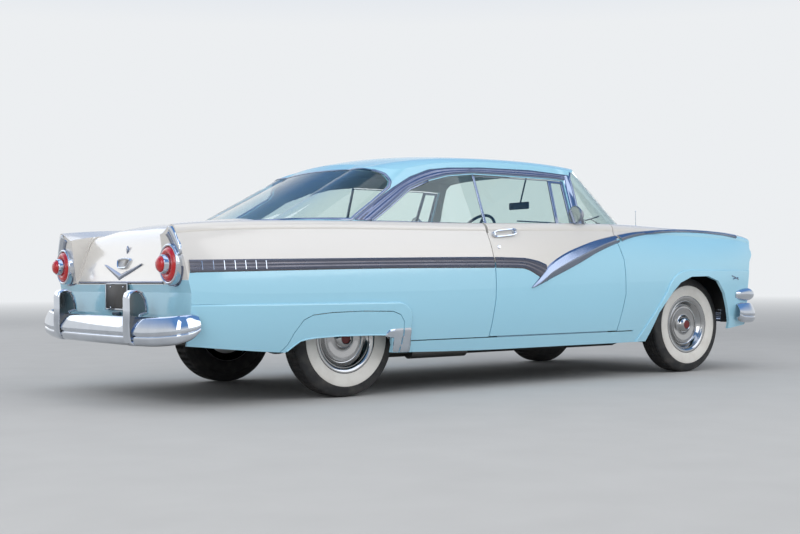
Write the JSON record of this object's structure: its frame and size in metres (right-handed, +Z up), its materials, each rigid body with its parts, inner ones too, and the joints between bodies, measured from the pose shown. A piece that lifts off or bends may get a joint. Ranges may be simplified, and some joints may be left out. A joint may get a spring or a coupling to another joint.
{
  "type": "two-door hardtop car",
  "caption": "Two-door 1950s hardtop car with wraparound glass, fender skirts, whitewall tyres, opening doors, hood and trunk lid, and steered, rolling wheels.",
  "frame": {"origin": "on the ground under the middle of the car's length and width", "axes": "+X to the front of the car, +Y to its left, +Z up"},
  "size_m": [5.0432, 1.9272, 1.5],
  "materials": {
    "body_paint": "gloss two-tone enamel",
    "window_glass": "clear, faint green",
    "bright_chrome": "polished",
    "wheel_chrome": "polished",
    "black_steel": "satin black",
    "cast_steel": "rough",
    "engine_iron": "painted casting",
    "exhaust_steel": "dull",
    "lamp_glass": "fluted",
    "red_lens": "clear red",
    "seat_cover": "two-tone vinyl",
    "dash_paint": "gloss",
    "dark_plastic": "gloss",
    "tyre_rubber": "rubber with a white sidewall"
  },
  "bodies": {
    "body": {"quarter_panels": "body_paint", "fender_skirts": "body_paint", "front_fenders": "body_paint", "quarter_windows": "window_glass", "roof": "body_paint", "windshield": "window_glass", "rear_window": "window_glass", "frame": "black_steel", "floor_pan": "black_steel", "cowl": "body_paint", "trunk_floor": "black_steel", "rockers": "body_paint", "rear_deck": "body_paint", "front_aprons": "black_steel", "grille": "bright_chrome", "engine": "engine_iron", "rear_axle": "black_steel", "exhaust": "exhaust_steel", "fuel_tank": "black_steel", "front_suspension": "black_steel", "rear_bumper": "bright_chrome", "front_bumper": "bright_chrome", "front_seat": "seat_cover", "rear_seat": "seat_cover", "dashboard": "dash_paint", "steering_wheel": "dark_plastic", "lamp_rims": "bright_chrome", "parking_lamps": "bright_chrome", "headlamp_lenses": "lamp_glass", "tail_lamps": "red_lens"},
    "door_right": {"door_right": "body_paint", "door_glass_right": "window_glass", "door_fittings_right": "bright_chrome"},
    "door_left": {"door_left": "body_paint", "door_glass_left": "window_glass", "door_fittings_left": "bright_chrome"},
    "hood": {"hood": "body_paint"},
    "trunk_lid": {"trunk_lid": "body_paint"},
    "knuckle_right": {"knuckle_right": "cast_steel"},
    "knuckle_left": {"knuckle_left": "cast_steel"},
    "wheel_front_right": {"tyre_front_right": "tyre_rubber", "wheel_front_right": "wheel_chrome"},
    "wheel_front_left": {"tyre_front_left": "tyre_rubber", "wheel_front_left": "wheel_chrome"},
    "wheel_rear_right": {"tyre_rear_right": "tyre_rubber", "wheel_rear_right": "wheel_chrome"},
    "wheel_rear_left": {"tyre_rear_left": "tyre_rubber", "wheel_rear_left": "wheel_chrome"}
  },
  "joints": [
    {"name": "door_right_hinge", "type": "hinge", "parent": "body", "child": "door_right", "pos_m": [0.812, -0.934, 0.65], "axis": [0, 0, 1], "range_deg": [0, 65]},
    {"name": "door_left_hinge", "type": "hinge", "parent": "body", "child": "door_left", "pos_m": [0.812, 0.934, 0.65], "axis": [0, 0, -1], "range_deg": [0, 65]},
    {"name": "hood_hinge", "type": "hinge", "parent": "body", "child": "hood", "pos_m": [1.368, 0, 1.088], "axis": [0, -1, 0], "range_deg": [0, 50]},
    {"name": "trunk_hinge", "type": "hinge", "parent": "body", "child": "trunk_lid", "pos_m": [-1.702, 0, 1.05], "axis": [0, 1, 0], "range_deg": [0, 70]},
    {"name": "steer_left", "type": "hinge", "parent": "body", "child": "knuckle_left", "pos_m": [1.66, 0.65, 0.34], "axis": [0, 0, 1], "range_deg": [-30, 30]},
    {"name": "steer_right", "type": "hinge", "parent": "body", "child": "knuckle_right", "pos_m": [1.66, -0.65, 0.34], "axis": [0, 0, 1], "range_deg": [-30, 30]},
    {"name": "spin_front_right", "type": "hinge", "parent": "knuckle_right", "child": "wheel_front_right", "pos_m": [1.66, -0.7365, 0.34], "axis": [0, 1, 0], "continuous": true},
    {"name": "spin_front_left", "type": "hinge", "parent": "knuckle_left", "child": "wheel_front_left", "pos_m": [1.66, 0.7365, 0.34], "axis": [0, 1, 0], "continuous": true},
    {"name": "spin_rear_right", "type": "hinge", "parent": "body", "child": "wheel_rear_right", "pos_m": [-1.274, -0.711, 0.34], "axis": [0, 1, 0], "continuous": true},
    {"name": "spin_rear_left", "type": "hinge", "parent": "body", "child": "wheel_rear_left", "pos_m": [-1.274, 0.711, 0.34], "axis": [0, 1, 0], "continuous": true}
  ],
  "couplings": [
    {"joint": "steer_right", "follows": "steer_left", "ratio": 1}
  ]
}
